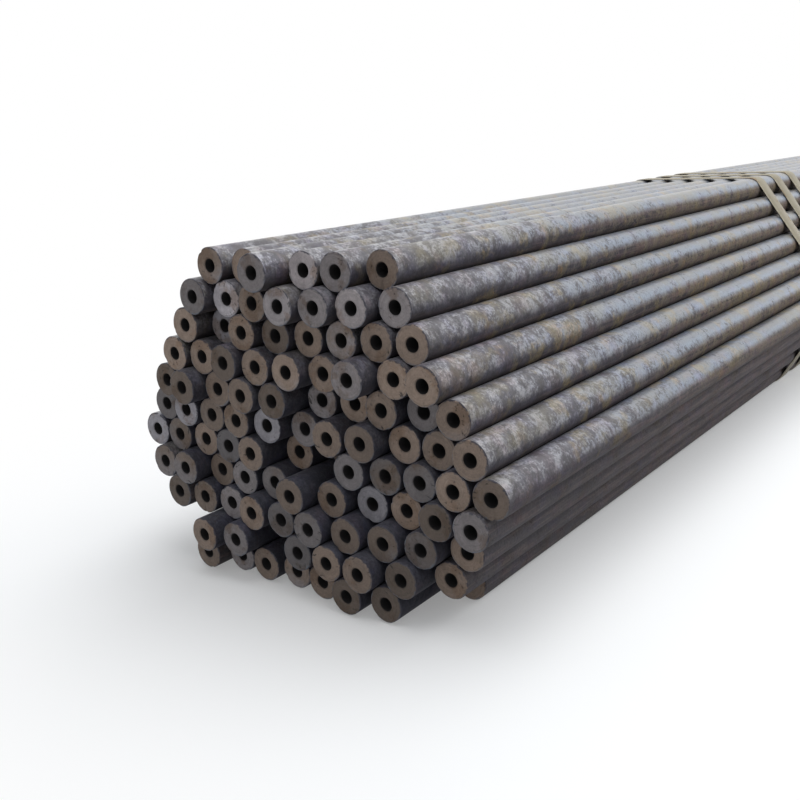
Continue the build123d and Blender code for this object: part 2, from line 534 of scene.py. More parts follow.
def rust_group():
    """Rust stains with ragged borders: the stain, and its darker specks. Cover is how much they spread."""
    tree, given, result = new_tree(
        "rust_stain",
        "ShaderNodeTree",
        {"Place": "Vector", "Cover": "Float"},
        {"Stain": "Float", "Specks": "Float"},
    )
    place = given["Place"]
    cloud = noise(place, size=0.026, detail=4.0, roughness=0.55, distortion=0.2)
    fray = noise(place, size=0.006, detail=4.0, roughness=0.65)
    start = 0.78 - given["Cover"] * 0.36
    feed(result.inputs["Stain"], rise((fray - 0.5) * 0.20 + cloud, start, start + 0.13))
    speck = noise(place, size=0.0032, detail=2.0)
    feed(result.inputs["Specks"], rise(speck, 0.60, 0.70) * rise(cloud, 0.45, 0.62))
    return tree


def rim_group():
    """A band along an edge, broken up by noise: worn coat on the straps, painted rim shade and highlight on
    the sawn ends. Edge is 0 inside the face and 1 on its rim.
    """
    inputs = {"Place": "Vector", "Edge": "Float", "Width": "Float"}
    tree, given, result = new_tree("worn_rim", "ShaderNodeTree", inputs, {"Wear": "Float"})
    ragged = noise(given["Place"], size=0.005, detail=3.0, roughness=0.6)
    shifted = given["Edge"] + (ragged - 0.5) * 0.35
    feed(result.inputs["Wear"], rise(shifted, 1.0 - given["Width"], 1.0))
    return tree


def shared_groups():
    """The shader groups by their short names, built once."""
    makers = {"scale_mottle": mottle_group, "rust_stain": rust_group, "worn_rim": rim_group}
    return {name.split("_")[1]: bpy.data.node_groups.get(name) or make() for name, make in makers.items()}


# Finishes of the pipes


def shifted_by_chance(place, chance, shift=CHANCE_SHIFT):
    """A pipe's place, moved so that no two pipes match."""
    return vector_calc("ADD", place, vector_calc("SCALE", chance, shift))


def pipe_coordinates(tree):
    """A place on its own pipe, the same moved so that no two pipes match, and the pipe's chance numbers."""
    place = attribute(tree, "pipe_place")
    chance = attribute(tree, "pipe_chance")
    return place, shifted_by_chance(place, chance), chance


def height_of(tree):
    """Height above the floor."""
    return parts_of(add(tree, "ShaderNodeTexCoord", out="Object"))[2]


def from_axis(place):
    """Distance of a place from its pipe's axis."""
    x, _, z = parts_of(place)
    return vector_calc("LENGTH", vector_of(x, 0.0, z), out="Value")


def underside_shade_film(look, mottle, scale, patchy, facing, near_cut, aired_and_lit, outer, moved):
    """Painted shade on the faces turned from the sky: a brown film with red and ochre streaks, near black in
    the valleys between pipes, and dark slate on the pipes inside the bundle.
    """
    lines = vector_calc("MULTIPLY", moved, (1.0, 0.05, 1.0))
    lines = noise(lines, size=0.004, detail=4.0, roughness=0.65)
    film = tint(rise(lines - near_cut * 0.10, 0.36, 0.58), look.brown_film_and_shade, look.red_film)
    film = tint(rise(patchy, 0.50, 0.74) * aired_and_lit * 0.60, film, look.ochre_stain)
    # Painted shadow: the valleys where pipes touch go near black
    film = tint(rise(facing, -0.25, -0.80) * 0.75, film, look.bore_dark)
    film = tint(0.26 - aired_and_lit * 0.26, film, look.end_pale)
    film = tint(near_cut * aired_and_lit * rise(facing, -0.75, -0.15), film, scale)
    # Painted shade in the recesses: pipes inside the bundle are dark slate
    inner = tint(rise(mottle["Flecks"], 0.42, 0.62), look.shade_scale, look.slate_scale)
    return tint(1.0 - outer, film, inner)


def heat_tints(base, moved):
    """Faint purple and blue tints that heat left in the scale."""
    purple = rise(noise(moved, size=0.024, detail=4.0, roughness=0.6), 0.50, 0.66)
    elsewhere = vector_calc("ADD", moved, BLUE_SHIFT)
    blue = rise(noise(elsewhere, size=0.018, detail=4.0, roughness=0.6), 0.48, 0.66)
    return tint(1.0, base, vector_of(purple * 0.12 + 1.0, 1.0, blue * 0.14 + 1.0), "MULTIPLY")


def scale_material(look, groups):
    """Mill scale on a pipe's outside: mottled grey, a painted sky reflection on top, painted shade below as a
    brown film, with ochre stains.
    """
    material, tree, shader = new_material("mill_scale")
    place, moved, _ = pipe_coordinates(tree)
    aside, along, up = parts_of(place)
    facing = up / (look.diameter / 2)
    drawn = vector_calc("MULTIPLY", moved, (0.30, 1.0, 0.30))
    mottle = place_group(tree, groups["mottle"], Place=moved, Drawn=drawn)
    rust = place_group(tree, groups["stain"], Place=moved, Cover=0.70)

    # Scale is cleaner towards the cuts, and darker there because the painted sky reflection thins out towards
    # them
    from_cut = look.stock_length / 2 - abs(along - look.stock_length / 2)
    near_cut = rise(from_cut, look.dark_end, 0.0)
    at_cut = rise(from_cut, look.clean_end, 0.0)

    # Rolls that straightened the pipe left a faint spiral, which shows where the patches are
    spiral = calc("SINE", along * (2 * math.pi / look.roll_pitch) + calc("ARCTAN2", aside, up))
    patchy = spiral * 0.05 + mottle["Patches"] + 0.14 - near_cut * 0.28
    for mask, weight in (("Streaks", 0.25), ("Tone", 0.28), ("Flecks", 0.75), ("Grain", 0.50)):
        patchy = patchy + (mottle[mask] - 0.5) * weight

    # Upward faces of outer pipes, and high inner tips, take a painted sky reflection, faint on low rows; the
    # rest painted shade
    height = height_of(tree)
    aired_and_lit = rise(height, *AIRED_AND_LIT_HEIGHTS)
    tip = rise(from_cut, look.tip, look.lit_tip) * rise(height, *UPPER_HEIGHTS) * 0.65
    outer = calc("MAXIMUM", attribute(tree, "pipe_outer", "Fac"), tip)
    ragged = facing + (mottle["Flecks"] - 0.5) * 0.25 + (mottle["Patches"] - 0.5) * 0.25
    border = 0.24 - aired_and_lit * 0.24 - near_cut * aired_and_lit * 0.36
    lit_side = rise(ragged - border, 0.08, 0.62) * (aired_and_lit * 0.50 + 0.50) * (outer * 0.70 + 0.30)
    shade_and_shelter = (1.0 - lit_side) * 0.85

    scale = tint(rise(mottle["Patches"], 0.34, 0.66), look.dark_scale, look.grey_scale)
    # Painted reflection: pale patches of sky sheen on the lit side, greyer towards the cuts
    pale = rise(patchy, 0.26, 0.64) * lit_side
    base = tint(pale, scale, tint(near_cut * near_cut, look.sheen_scale, look.end_pale))
    dusty = rise(facing, 0.55, 0.92) * rise(mottle["Patches"], 0.30, 0.54) * (1.0 - near_cut)
    base = tint(dusty * 0.85, base, look.dust)
    base = tint(rise(mottle["Tone"], 0.48, 0.64) * lit_side * 0.48, base, look.golden_film)
    film = underside_shade_film(look, mottle, scale, patchy, facing, near_cut, aired_and_lit, outer, moved)
    # Painted shade: the side that faces down takes the dark film
    base = tint(shade_and_shelter, base, film)

    # Water left stains, with fresh rust in their middle
    stain = rust["Stain"] * (1.0 - at_cut * 0.60) * (aired_and_lit * 0.80 + 0.20) * outer
    base = tint(stain * 0.60, base, look.ochre_stain)
    fresh = rise(stain, 0.55, 1.00) * rise(mottle["Flecks"], 0.54, 0.66)
    base = tint(fresh * 0.55, base, look.orange_rust)
    base = tint(rust["Specks"] * 0.60, base, look.brown_film_and_shade)
    base = heat_tints(shaded(base, mottle["Grain"] * 1.3 + 0.35), moved)

    # A clamp left a thin mark round the pipe, a little way from the cut
    mark = rise(abs(from_cut - look.clamp_mark), look.clamp_width, 0.0) * rise(mottle["Patches"], 0.44, 0.56)
    base = tint(mark * 0.55, base, look.brown_film_and_shade)

    roughness = shade_and_shelter * 0.28 + rust["Stain"] * 0.14 - pale * 0.08 + 0.58
    relief = mottle["Grain"] + mottle["Streaks"] * 0.8 + mottle["Patches"] * 0.8
    wear(shader, base, roughness, relief, depth=0.00018)
    feed(shader.inputs["Coat Weight"], lit_side * (rise(patchy, 0.33, 0.55) * 0.60 + 0.40))
    shader.inputs["Coat Roughness"].default_value = 0.28
    return material


def sawn_material(look, groups):
    """Sawn end: warm, grey or bluish steel with rings and gashes, a worn rim and grime round the bore."""
    material, tree, shader = new_material("sawn_end")
    place, moved, chance = pipe_coordinates(tree)
    family, spin, bright = parts_of(chance)
    aside, _, up = parts_of(place)
    height = height_of(tree)
    mottle = place_group(tree, groups["mottle"], Place=moved, Drawn=moved)
    rust = place_group(tree, groups["stain"], Place=moved, Cover=0.72)
    outer = from_axis(place) / (look.diameter / 2)
    rim = place_group(tree, groups["rim"], Place=moved, Edge=outer, Width=0.085)["Wear"]

    # Ends are rusty or bare by chance, and barer high up in the bundle
    barer = family + rise(height, *BARE_HEIGHTS) * 0.25 + (mottle["Tone"] - 0.5) * 0.90
    barer = barer - up * (0.16 / look.diameter)
    base = tint(rise(barer, 0.53, 0.72), look.warm_face, look.grey_face)
    base = tint(rise(family, 0.86, 0.90), base, look.blue_face)
    base = tint(rust["Stain"] * 0.50, base, look.rusty_face)

    # The saw left rings a little off the pipe's middle
    options = {"rotation_type": "Y_AXIS"}
    turned = add(tree, "ShaderNodeVectorRotate", options, Vector=place, Angle=spin * (2 * math.pi))
    off_middle = vector_calc("ADD", turned, (0.003, 0.0, 0.0))
    rings = noise(vector_of(from_axis(off_middle)), size=0.0014, detail=3.0, roughness=0.7)
    shade = (rings * 0.80 + 0.60) * (mottle["Patches"] * 0.9 + 0.55) * (mottle["Grain"] * 0.7 + 0.65)
    # Each end's brightness differs by chance, and ends are darker towards the bottom of the bundle
    shade = shade * (bright * 1.10 + 0.48) * (rise(height, *BRIGHT_HEIGHTS) * 0.30 + 0.76)
    base = shaded(base, shade)

    # Grime round the bore, a dark ring inside the rim, and gashes on some ends
    bore_share = look.bore / look.diameter
    base = tint(rise(outer, bore_share + 0.09, bore_share) * 0.40, base, look.bore_dark)
    base = tint(rust["Specks"] * 0.6, base, look.bore_dark)
    ring = rise(abs(outer - 0.90), 0.030, 0.010) * rise(mottle["Patches"], 0.50, 0.60)
    base = tint(ring * 0.45, base, look.brown_film_and_shade)
    torn = shifted_by_chance(vector_calc("MULTIPLY", turned, (0.28, 1.0, 1.0)), chance, GASH_SHIFT)
    gash = rise(noise(torn, size=0.0036, detail=3.0, roughness=0.6), 0.63, 0.69)
    gash = gash * rise(outer, 0.58, 0.80) * rise(spin, 0.4, 0.5)
    base = tint(gash * 0.85, base, look.bore_dark)

    # Painted shade darkens the rim above, and a painted highlight brightens its burr below
    rim_shade = rise(aside * 0.5 + up, -look.diameter / 8, look.diameter / 4)
    base = tint(rim * (rim_shade * 0.75 + 0.20), base, look.shade_scale)
    base = tint(rim * (1.0 - rim_shade) * 0.40, base, look.sheen_scale)

    wear(shader, base, rust["Stain"] * 0.14 + 0.58, rings * 1.2 + mottle["Grain"], depth=0.00014)
    shader.inputs["Metallic"].default_value = 0.1
    return material


def bore_material(look, groups):
    """Near black inside the bores: painted shade of the deep hole, with faint brown oxide patches."""
    material, tree, shader = new_material("bore_oxide")
    _, moved, _ = pipe_coordinates(tree)
    mottle = place_group(tree, groups["mottle"], Place=moved, Drawn=moved)
    base = tint(mottle["Patches"] * 0.15, look.bore_dark, look.brown_film_and_shade)
    wear(shader, base, mottle["Grain"] * 0.2 + 0.7, mottle["Grain"], depth=0.0002)
    return material


# Pipes


def pipe_section(tree, given):
    """A pipe's wall cut lengthwise, with dulled corners and with cuts where its long sides are divided."""
    half_length = given["Length"] * 0.5
    wall = (given["Diameter"] - given["Bore"]) * 0.5
    section = add(tree, "GeometryNodeCurvePrimitiveQuadrilateral", Width=wall, Height=given["Length"])
    dulled = {"Count": 1, "Radius": given["Edge Break"]}
    section = add(tree, "GeometryNodeFilletCurve", {"mode": "POLY"}, Curve=section, **dulled)
    here = add(tree, "GeometryNodeInputPosition")
    following = calc("MODULO", add(tree, "GeometryNodeInputIndex") + 1.0, SECTION_CORNERS)
    options = {"data_type": "FLOAT_VECTOR"}
    there = add(tree, "GeometryNodeFieldAtIndex", options, Index=following, Value=here)
    is_side = vector_calc("DISTANCE", here, there, out="Value") > half_length
    return add(tree, "GeometryNodeSubdivideCurve", Curve=section, Cuts=is_side * (SIDE_STRIPS - 1))


def pipe_tree():
    """One point for each pipe becomes a row of pipes with dulled, nicked and slightly leaning ends."""
    floats = ("Diameter", "Bore", "Length", "Edge Break", "Raggedness", "Saw Tilt")
    finishes = ("Scale Finish", "Sawn Finish", "Bore Finish")
    tree, given, result = new_tree(
        "sawn_pipes",
        "GeometryNodeTree",
        {
            "Points": "Geometry",
            **dict.fromkeys(floats, "Float"),
            "Sides": "Int",
            "Seed": "Int",
            **dict.fromkeys(finishes, "Material"),
        },
        {"Pipes": "Geometry"},
    )
    half_length = given["Length"] * 0.5
    middle = (given["Diameter"] + given["Bore"]) * 0.25
    turn = add(tree, "GeometryNodeCurvePrimitiveCircle", Resolution=given["Sides"], Radius=middle)
    pipe = add(tree, "GeometryNodeCurveToMesh", Curve=turn, Profile_Curve=pipe_section(tree, given))
    lying = {"Translation": vector_of(0.0, half_length, 0.0), "Rotation": (-math.pi / 2, 0.0, 0.0)}
    pipe = add(tree, "GeometryNodeTransform", Geometry=pipe, **lying)
    pipe = store(pipe, "pipe_place", add(tree, "GeometryNodeInputPosition"))
    pipes = add(tree, "GeometryNodeInstanceOnPoints", Points=given["Points"], Instance=pipe)
    chance = add(tree, "FunctionNodeRandomValue", {"data_type": "FLOAT_VECTOR"}, Seed=given["Seed"])
    pipes = store(pipes, "pipe_chance", chance, domain="INSTANCE")
    pipes = add(tree, "GeometryNodeRealizeInstances", Geometry=pipes)

    # Each cut leans its own way
    place, chance = stored(tree, "pipe_place"), stored(tree, "pipe_chance")
    x, y, z = parts_of(place)
    lean_x, lean_z, _ = parts_of(vector_calc("SUBTRACT", chance, (0.5, 0.5, 0.5)))
    from_middle = y - half_length
    at_end = abs(from_middle) > half_length - given["Edge Break"] * END_ZONE
    lean = (x * lean_x + z * lean_z) * calc("TANGENT", given["Saw Tilt"])

    # Nicks push the rim inwards and back from the cut
    radial = vector_of(x, 0.0, z)
    radius = vector_calc("LENGTH", radial, out="Value")
    on_rim = radius > given["Diameter"] * 0.5 - given["Edge Break"] * RIM_ZONE
    nicks = noise(shifted_by_chance(place, chance), NICK_SIZE, detail=3.0, roughness=0.6)
    bite = rise(nicks, *NICK_NOISE) * on_rim * given["Raggedness"]
    inward = vector_calc("SCALE", vector_calc("NORMALIZE", radial), -bite)
    shift = vector_calc("ADD", inward, vector_of(0.0, lean - calc("SIGN", from_middle) * bite, 0.0))
    pipes = add(tree, "GeometryNodeSetPosition", Geometry=pipes, Selection=at_end, Offset=shift)

    pipes = shaded_smooth(pipes, PIPE_CRISP_ANGLE)
    is_sawn = abs(parts_of(add(tree, "GeometryNodeInputNormal"))[1]) > SAWN_FACING
    is_bore = radius < given["Bore"] * 0.5
    finished(pipes, result, *zip((True, is_sawn, is_bore), (given[finish] for finish in finishes)))
    return tree


def map_cell(columns, number, start, height):
    """The corner and size of one of the equal cells that fill a band of the bake map, row by row."""
    row, column = divmod(number, columns)
    return column / columns, start + row * height, 1 / columns, height


def lay_out(mesh, pipes, look):
    """Adds the bake map: the sides in strips side by side, then the bores, then a square for each end."""
    layer = mesh.uv_layers.new(name=BAKE_MAP).data
    places = [item.vector for item in mesh.attributes["pipe_place"].data]
    finishes = [material.name for material in mesh.materials]
    corners_each = len(mesh.vertices) // pipes
    ends_from = 1 - math.ceil(2 * pipes / END_COLUMNS) / END_COLUMNS
    bores_from = ends_from - BORE_BAND
    strip_columns = pipes * SIDE_STRIPS // STRIP_ROWS
    strip_length = look.stock_length / SIDE_STRIPS
    for face in mesh.polygons:
        pipe = face.vertices[0] // corners_each
        corners = [places[vertex] for vertex in face.vertices]
        along = sum(corner.y for corner in corners) / len(corners)
        turns = [math.atan2(corner.x, corner.z) / (2 * math.pi) + 0.5 for corner in corners]
        if max(turns) - min(turns) > 0.5:
            turns = [turn + (turn < 0.5) for turn in turns]
        finish = finishes[face.material_index]
        if finish == "sawn_end":
            far = along > look.stock_length / 2
            right = -look.diameter if far else look.diameter
            cell = map_cell(END_COLUMNS, 2 * pipe + far, ends_from, 1 / END_COLUMNS)
            shares = [(corner.x / right + 0.5, corner.z / look.diameter + 0.5) for corner in corners]
        elif finish == "bore_oxide":
            cell = map_cell(pipes, pipe, bores_from, BORE_BAND)
            shares = [(1 - turn, corner.y / look.stock_length) for turn, corner in zip(turns, corners)]
        else:
            strip = min(int(along / strip_length), SIDE_STRIPS - 1)
            cell = map_cell(strip_columns, pipe * SIDE_STRIPS + strip, 0.0, bores_from / STRIP_ROWS)
            shares = [(turn, corner.y / strip_length - strip) for turn, corner in zip(turns, corners)]
        left, foot, width, height = cell
        for loop, (across, up) in zip(face.loop_indices, shares):
            layer[loop].uv = (
                left + MAP_MARGIN + across * (width - 2 * MAP_MARGIN),
                foot + MAP_MARGIN + up * (height - 2 * MAP_MARGIN),
            )


class PIPEBUNDLE_OT_pipes(bpy.types.Operator):
    """Lays the rows of pipes where the CAD rows are"""

    bl_idname = "pipe_bundle.pipes"
    bl_label = "Lay the pipes"

    def execute(self, context):
        look = context.scene.bundle_pipes
        groups = shared_groups()
        tree = pipe_tree()
        inputs = {
            "Diameter": look.diameter,
            "Bore": look.bore,
            "Length": look.stock_length,
            "Edge Break": look.edge_break,
            "Raggedness": look.raggedness,
            "Saw Tilt": look.saw_tilt,
            "Sides": look.sides,
            "Scale Finish": scale_material(look, groups),
            "Sawn Finish": sawn_material(look, groups),
            "Bore Finish": bore_material(look, groups),
        }
        for level, (node, ends) in enumerate(zip(ROW_NODES, ENDS)):
            number = level + 1
            points = bpy.data.meshes.new(f"row_{number:02d}_points")
            points.from_pydata(ends, [], [])
            # Outer pipes take the painted sky reflection and the stains, inner ones the painted recess shade
            weathered_and_lit = [float(is_outer(level, place)) for place in range(len(ends))]
            points.attributes.new("pipe_outer", "FLOAT", "POINT").data.foreach_set("value", weathered_and_lit)
            inputs["Seed"] = look.seed + number
            row = grown_mesh(f"row_{number:02d}_pipes", points, tree, inputs)
            lay_out(row.data, len(ends), look)
            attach(row, BODY)
            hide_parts(node)
        return {"FINISHED"}


# Straps and seals


def strap_loop(look):
    """A strap's middle line once round the bundle, as points in order and how far along each one is."""
    centres = [Vector((end.x, end.z)) for row in ENDS for end in row]
    hull = [centres[index] for index in convex_hull_2d(centres)]
    reach = look.reach - look.thickness / 2
    loop = []
    for before, corner, after in zip(hull[-1:] + hull[:-1], hull, hull[1:] + hull[:1]):
        start, end = (math.atan2(a.x - b.x, b.y - a.y) for a, b in ((before, corner), (corner, after)))
        turn = (end - start) % (2 * math.pi)
        steps = max(1, math.ceil(turn / BEND_STEP))
        for step in range(steps + 1):
            bent = start + turn * step / steps
            loop.append(corner + reach * Vector((math.cos(bent), math.sin(bent))))
    loop.append(loop[0])
    marks = [0.0]
    for before, after in zip(loop, loop[1:]):
        marks.append(marks[-1] + (after - before).length)
    return loop, marks


def along_loop(loop, marks, distance):
    """The point at a distance along a loop, and the direction that faces away from the bundle there."""
    distance %= marks[-1]
    index = max(1, bisect.bisect_left(marks, distance))
    before, after = loop[index - 1], loop[index]
    span = marks[index] - marks[index - 1]
    share = (distance - marks[index - 1]) / span if span else 0.0
    run = (after - before).normalized()
    return before.lerp(after, share), Vector((run.y, -run.x))


def lap_of(loop, marks, seal_node):
    """How far along the loop the middle of a strap's lap is, which its seal sits on."""
    low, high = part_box(seal_node)
    middle = Vector(((low[0] + high[0]) / 2, (low[2] + high[2]) / 2))
    stops = [marks[-1] * step / LAP_SEARCH_STEPS for step in range(LAP_SEARCH_STEPS)]
    return min(stops, key=lambda stop: (along_loop(loop, marks, stop)[0] - middle).length)


def smooth(share):
    """A smooth climb from 0 to 1."""
    share = min(max(share, 0.0), 1.0)
    return share * share * (3 - 2 * share)


def strap_line(look, y, seal_node):
    """Base mesh of a strap: its middle line from its inner end, once round and over that end to its tail."""
    loop, marks = strap_loop(look)
    lap = lap_of(loop, marks, seal_node)
    start, end = lap - look.lap / 2, lap + marks[-1] + look.lap / 2
    stops = {start, end}
    for turn in (0.0, marks[-1]):
        stops.update(mark + turn for mark in marks if start < mark + turn < end)
        near_seal = (lap + turn + step * LAP_STEP for step in range(-LAP_STEPS, LAP_STEPS + 1))
        stops.update(stop for stop in near_seal if start < stop < end)
    places, distances = [], []
    for stop in sorted(stops):
        if distances and stop - distances[-1] < LAP_STEP / 4:
            continue
        place, outward = along_loop(loop, marks, stop)
        climbed = smooth((stop - (start + marks[-1] - look.ramp)) / look.ramp)
        sprung = smooth((stop - (end - look.ramp)) / look.ramp)
        place = place + outward * (climbed * (look.thickness + look.layer_gap) + sprung * look.tail_lift)
        places.append((place.x, y, place.y))
        distances.append(stop)
    line = bpy.data.meshes.new("strap_line")
    line.from_pydata(places, [(index, index + 1) for index in range(len(places) - 1)], [])
    half_way = lap + marks[-1] / 2
    turned = [distance - lap - (marks[-1] if distance > half_way else 0.0) for distance in distances]
    line.attributes.new("strap_along", "FLOAT", "POINT").data.foreach_set("value", turned)
    return line


def crimp_bite(given, along):
    """How far the crimps push in at a distance along the lap."""
    from_crimp = abs(along) - given["Crimp Pitch"] * 0.5
    return rise(abs(from_crimp), given["Crimp Depth"] * CRIMP_SPREAD, 0.0) * given["Crimp Depth"]


def strap_tree():
    """Sweeps a flat band with rolled edges along a line, pinched in where the seal's crimps bite."""
    floats = ("Width", "Thickness", "Edge Round", "Crimp Pitch", "Crimp Depth", "Chance")
    tree, given, result = new_tree(
        "flat_strap",
        "GeometryNodeTree",
        {"Line": "Geometry", **dict.fromkeys(floats, "Float"), "Finish": "Material"},
        {"Strap": "Geometry"},
    )
    line = add(tree, "GeometryNodeMeshToCurve", Mesh=given["Line"])
    line = add(tree, "GeometryNodeSetCurveNormal", {"mode": "FREE"}, Curve=line, Normal=(0.0, 1.0, 0.0))
    size = {"Width": given["Width"], "Height": given["Thickness"]}
    section = add(tree, "GeometryNodeCurvePrimitiveQuadrilateral", **size)
    rolled = {"Count": 2, "Radius": given["Edge Round"]}
    section = add(tree, "GeometryNodeFilletCurve", {"mode": "POLY"}, Curve=section, **rolled)
    across, _, _ = parts_of(add(tree, "GeometryNodeInputPosition"))
    section = store(section, "strap_across", across, "FLOAT")
    strap = add(tree, "GeometryNodeCurveToMesh", Curve=line, Profile_Curve=section, Fill_Caps=True)
    along, across = stored(tree, "strap_along", "FLOAT"), stored(tree, "strap_across", "FLOAT")
    pinch = vector_of(0.0, -(crimp_bite(given, along) * calc("SIGN", across)), 0.0)
    strap = add(tree, "GeometryNodeSetPosition", Geometry=strap, Offset=pinch)
    strap = store(strap, "strap_place", vector_of(along, across, given["Chance"]))
    strap = shaded_smooth(strap, STRAP_CRISP_ANGLE)
    strap = add(tree, "GeometryNodeRealizeInstances", Geometry=strap)
    finished(strap, result, (True, given["Finish"]))
    return tree


def seal_tree():
    """Folds a sheet over a strap's lapped ends at each point, with crimps that pinch its edges."""
    floats = (
        "Inside Width", "Inside Depth", "Length", "Fold Radius", "Crimp Pitch", "Crimp Depth", "Chance"
    )
    tree, given, result = new_tree(
        "crimped_seal",
        "GeometryNodeTree",
        {"Points": "Geometry", "Lean": "Vector", **dict.fromkeys(floats, "Float"), "Finish": "Material"},
        {"Seal": "Geometry"},
    )
    fold = given["Fold Radius"]
    flat = given["Inside Width"] * 0.5 - fold
    arc = fold * (math.pi / 2)
    half_girth = flat + arc + (given["Inside Depth"] - fold)
    steps = {"Vertices_X": SEAL_STEPS + 1, "Vertices_Y": SEAL_STEPS + 1}
    sheet = add(tree, "GeometryNodeMeshGrid", Size_X=given["Length"], Size_Y=half_girth * 2.0, **steps)

    # Across the sheet come the flat, the bend and the leg that hangs from it
    along, girth, _ = parts_of(add(tree, "GeometryNodeInputPosition"))
    reach = abs(girth)
    past_flat = calc("MAXIMUM", reach - flat, 0.0)
    bent = calc("MINIMUM", past_flat / fold, math.pi / 2)
    aside = calc("MINIMUM", reach, flat) + calc("SINE", bent) * fold
    drop = (1.0 - calc("COSINE", bent)) * fold + calc("MAXIMUM", past_flat - arc, 0.0)

    # Crimps pinch the edges and raise a ridge between them
    bite = crimp_bite(given, along)
    aside = aside - bite * rise(aside, flat * PINCH_START, flat)
    ridge = bite * CRIMP_RIDGE * rise(aside, flat, 0.0)
    folded = vector_of(along, aside * calc("SIGN", girth), ridge - drop)
    sheet = add(tree, "GeometryNodeSetPosition", Geometry=sheet, Position=folded)
    sheet = store(sheet, "strap_place", vector_of(along, girth, given["Chance"]))
    lean = add(tree, "FunctionNodeEulerToRotation", values=(given["Lean"],))
    seal = add(tree, "GeometryNodeInstanceOnPoints", Points=given["Points"], Instance=sheet, Rotation=lean)
    seal = add(tree, "GeometryNodeRealizeInstances", Geometry=seal)
    finished(shaded_smooth(seal, STRAP_CRISP_ANGLE), result, (True, given["Finish"]))
    return tree


def strap_material(name, look, groups):
    """Tan coat on flat steel: clouded, scratched lengthwise, bare along its edges and rusty in spots."""
    material, tree, shader = new_material(name)
    along, across, chance = parts_of(attribute(tree, "strap_place"))
    moved = vector_of(along, across, chance * STRAP_SHIFT)
    drawn = vector_calc("MULTIPLY", moved, (0.03, 1.0, 1.0))
    mottle = place_group(tree, groups["mottle"], Place=moved, Drawn=drawn)
    rust = place_group(tree, groups["stain"], Place=moved, Cover=0.60)
    edge = abs(across) / (look.width / 2)
    rim = place_group(tree, groups["rim"], Place=moved, Edge=edge, Width=0.10)["Wear"]

    base = shaded(look.paint, (mottle["Tone"] * 0.55 + 0.72) * (mottle["Streaks"] * 0.30 + 0.85))
    base = tint(rim * 0.8, base, look.bare_edge)
    base = tint(rise(mottle["Streaks"], 0.62, 0.74) * 0.45, base, look.bare_edge)
    base = tint(rust["Stain"] * 0.60, base, look.rust)
    base = tint(rust["Specks"] * 0.75, base, look.rust)
    roughness = rust["Stain"] * 0.25 - rim * 0.12 + 0.48
    wear(shader, base, roughness, mottle["Streaks"] + mottle["Grain"], depth=0.00006)
    feed(shader.inputs["Metallic"], rim * 0.5 + 0.25)
    return material


def strap_places():
    """Each strap's group, its number there and the end of its CAD nodes' names, from the near end on."""
    for group in GROUPS:
        for number in range(1, STRAPS_IN_GROUP + 1):
            yield group, number, f"{group}_{number}"


class PIPEBUNDLE_OT_straps(bpy.types.Operator):
    """Winds a strap round the bundle at each CAD strap"""

    bl_idname = "pipe_bundle.straps"
    bl_label = "Wind the straps"

    def execute(self, context):
        look = context.scene.bundle_straps
        tree = strap_tree()
        inputs = {
            "Width": look.width,
            "Thickness": look.thickness,
            "Edge Round": look.edge_round,
            "Crimp Pitch": look.crimp_pitch,
            "Crimp Depth": look.crimp_depth,
            "Finish": strap_material("tan_strap", look, shared_groups()),
        }
        for order, (group, number, place) in enumerate(strap_places()):
            low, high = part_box(f"strap_{place}")
            inputs["Chance"] = float(order)
            line = strap_line(look, (low[1] + high[1]) / 2, f"seal_{place}")
            strap = grown_mesh(f"{group}_band_{number}", line, tree, inputs)
            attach(strap, BODY)
            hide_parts(f"strap_{place}")
        return {"FINISHED"}


class PIPEBUNDLE_OT_seals(bpy.types.Operator):
    """Folds a seal over the lap of each strap"""

    bl_idname = "pipe_bundle.seals"
    bl_label = "Fold the seals"

    def execute(self, context):
        look = context.scene.bundle_straps
        tree = seal_tree()
        loop, marks = strap_loop(look)
        inputs = {
            "Inside Width": look.width + 2 * look.seal_play,
            "Inside Depth": 2 * look.thickness + look.layer_gap + look.seal_play,
            "Length": look.seal_length,
            "Fold Radius": look.fold_radius,
            "Crimp Pitch": look.crimp_pitch,
            "Crimp Depth": look.crimp_depth,
            "Finish": strap_material("tan_seal", look, shared_groups()),
        }
        for order, (group, number, place) in enumerate(strap_places()):
            low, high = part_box(f"seal_{place}")
            lap, outward = along_loop(loop, marks, lap_of(loop, marks, f"seal_{place}"))
            seat = lap + outward * (look.thickness * 1.5 + look.layer_gap + look.seal_play)
            points = bpy.data.meshes.new("seal_point")
            points.from_pydata([(seat.x, (low[1] + high[1]) / 2, seat.y)], [], [])
            inputs["Lean"] = (0.0, math.atan2(outward.x, outward.y), 0.0)
            inputs["Chance"] = order + 0.5
            seal = grown_mesh(f"{group}_seal_{number}", points, tree, inputs, look.seal_wall)
            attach(seal, BODY)
            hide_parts(f"seal_{place}")
        return {"FINISHED"}


# Stage


def seen_directly(tree):
    """One for rays that show the background: straight from the camera, mirrored or seen through glass."""
    rays = add(tree, "ShaderNodeLightPath").socket.node.outputs
    shown = calc("MAXIMUM", Field(rays["Is Camera Ray"]), Field(rays["Is Glossy Ray"]))
    return calc("MAXIMUM", shown, Field(rays["Is Transmission Ray"]))


